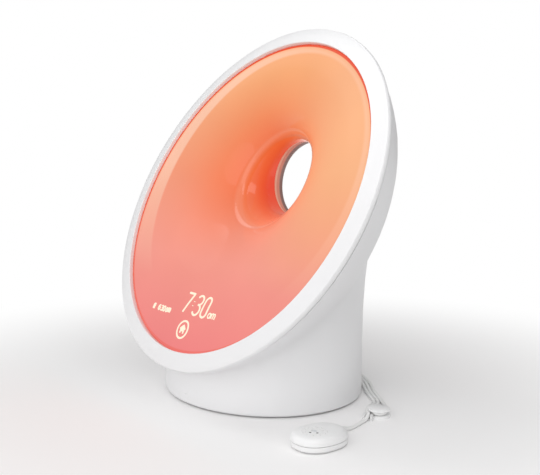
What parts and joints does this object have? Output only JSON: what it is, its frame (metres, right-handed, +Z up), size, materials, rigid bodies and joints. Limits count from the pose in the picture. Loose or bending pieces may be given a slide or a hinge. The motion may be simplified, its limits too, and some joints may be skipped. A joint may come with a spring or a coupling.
{
  "type": "sunrise alarm clock",
  "caption": "Bedside lamp and alarm clock: a tilted light disc with an off-centre hole on an oval base, with a touch display, a loudspeaker and a wired room sensor.",
  "frame": {"origin": "middle of the oval base on the table, on the underside of the rubber foot", "axes": "+Z up, the light disc faces -Y, +X to the right seen from the front"},
  "size_m": [0.22, 0.1453, 0.2183],
  "materials": {
    "shell_white": "satin",
    "ring_white": "satin",
    "diffuser": "gloss",
    "seal_white": "matt",
    "tray_white": "matt",
    "board_white": "matt",
    "led_yellow": "gloss",
    "aluminium_sheet": "brushed",
    "zinc": "plated",
    "board_green": "solder mask",
    "mask_black": "matt",
    "copper_foil": "bare",
    "chip_black": "matt",
    "tin_can": "tinned",
    "cable_white": "satin",
    "socket_black": "matt",
    "nickel": "nickel plated",
    "panel_white": "satin",
    "basket_black": "matt",
    "ferrite": "sintered",
    "cone_paper": "pulp",
    "coil_copper": "enamelled",
    "surround_rubber": "matt",
    "gasket_foam": "foam",
    "grille_white": "satin",
    "plate_white": "satin",
    "foot_rubber": "matt",
    "sensor_white": "satin",
    "lens_clear": "polished",
    "lead_white": "satin",
    "winder_white": "satin",
    "plug_white": "satin"
  },
  "bodies": {
    "clock": {"rear_housing": "shell_white", "front_ring": "ring_white", "light_diffuser": "diffuser", "throat_seal": "seal_white", "reflector_tray": "tray_white", "led_board": "board_white", "led_chips": "led_yellow", "heat_spreader": "aluminium_sheet", "led_screws": "zinc", "display_board": "board_green", "display_mask": "mask_black", "touch_foil": "copper_foil", "main_board": "board_green", "main_components": "chip_black", "wireless_module": "tin_can", "board_screws": "zinc", "display_cable": "cable_white", "dc_socket": "socket_black", "usb_socket": "nickel", "aux_socket": "socket_black", "sensor_socket": "nickel", "port_panel": "panel_white", "panel_screws": "zinc", "speaker_frame": "basket_black", "speaker_magnet": "ferrite", "speaker_yoke": "zinc", "speaker_surround": "surround_rubber", "speaker_gasket": "gasket_foam", "speaker_grille": "grille_white", "speaker_screws": "zinc", "base_plate": "plate_white", "foot_pad": "foot_rubber", "base_screws": "zinc", "sensor_top_shell": "sensor_white", "sensor_bottom_shell": "sensor_white", "sensor_board": "board_green", "sensor_foot": "foot_rubber", "sensor_lens": "lens_clear", "sensor_grommet": "lead_white", "winder_body": "winder_white", "winder_cap": "winder_white", "sensor_lead": "lead_white", "sensor_plug": "plug_white"},
    "cone": {"speaker_cone": "cone_paper", "voice_coil": "coil_copper"}
  },
  "joints": [
    {"name": "cone_travel", "type": "slide", "parent": "clock", "child": "cone", "axis": [0, 1, 0], "range_m": [-0.001, 0.001], "stiffness_N_per_m": 600}
  ]
}
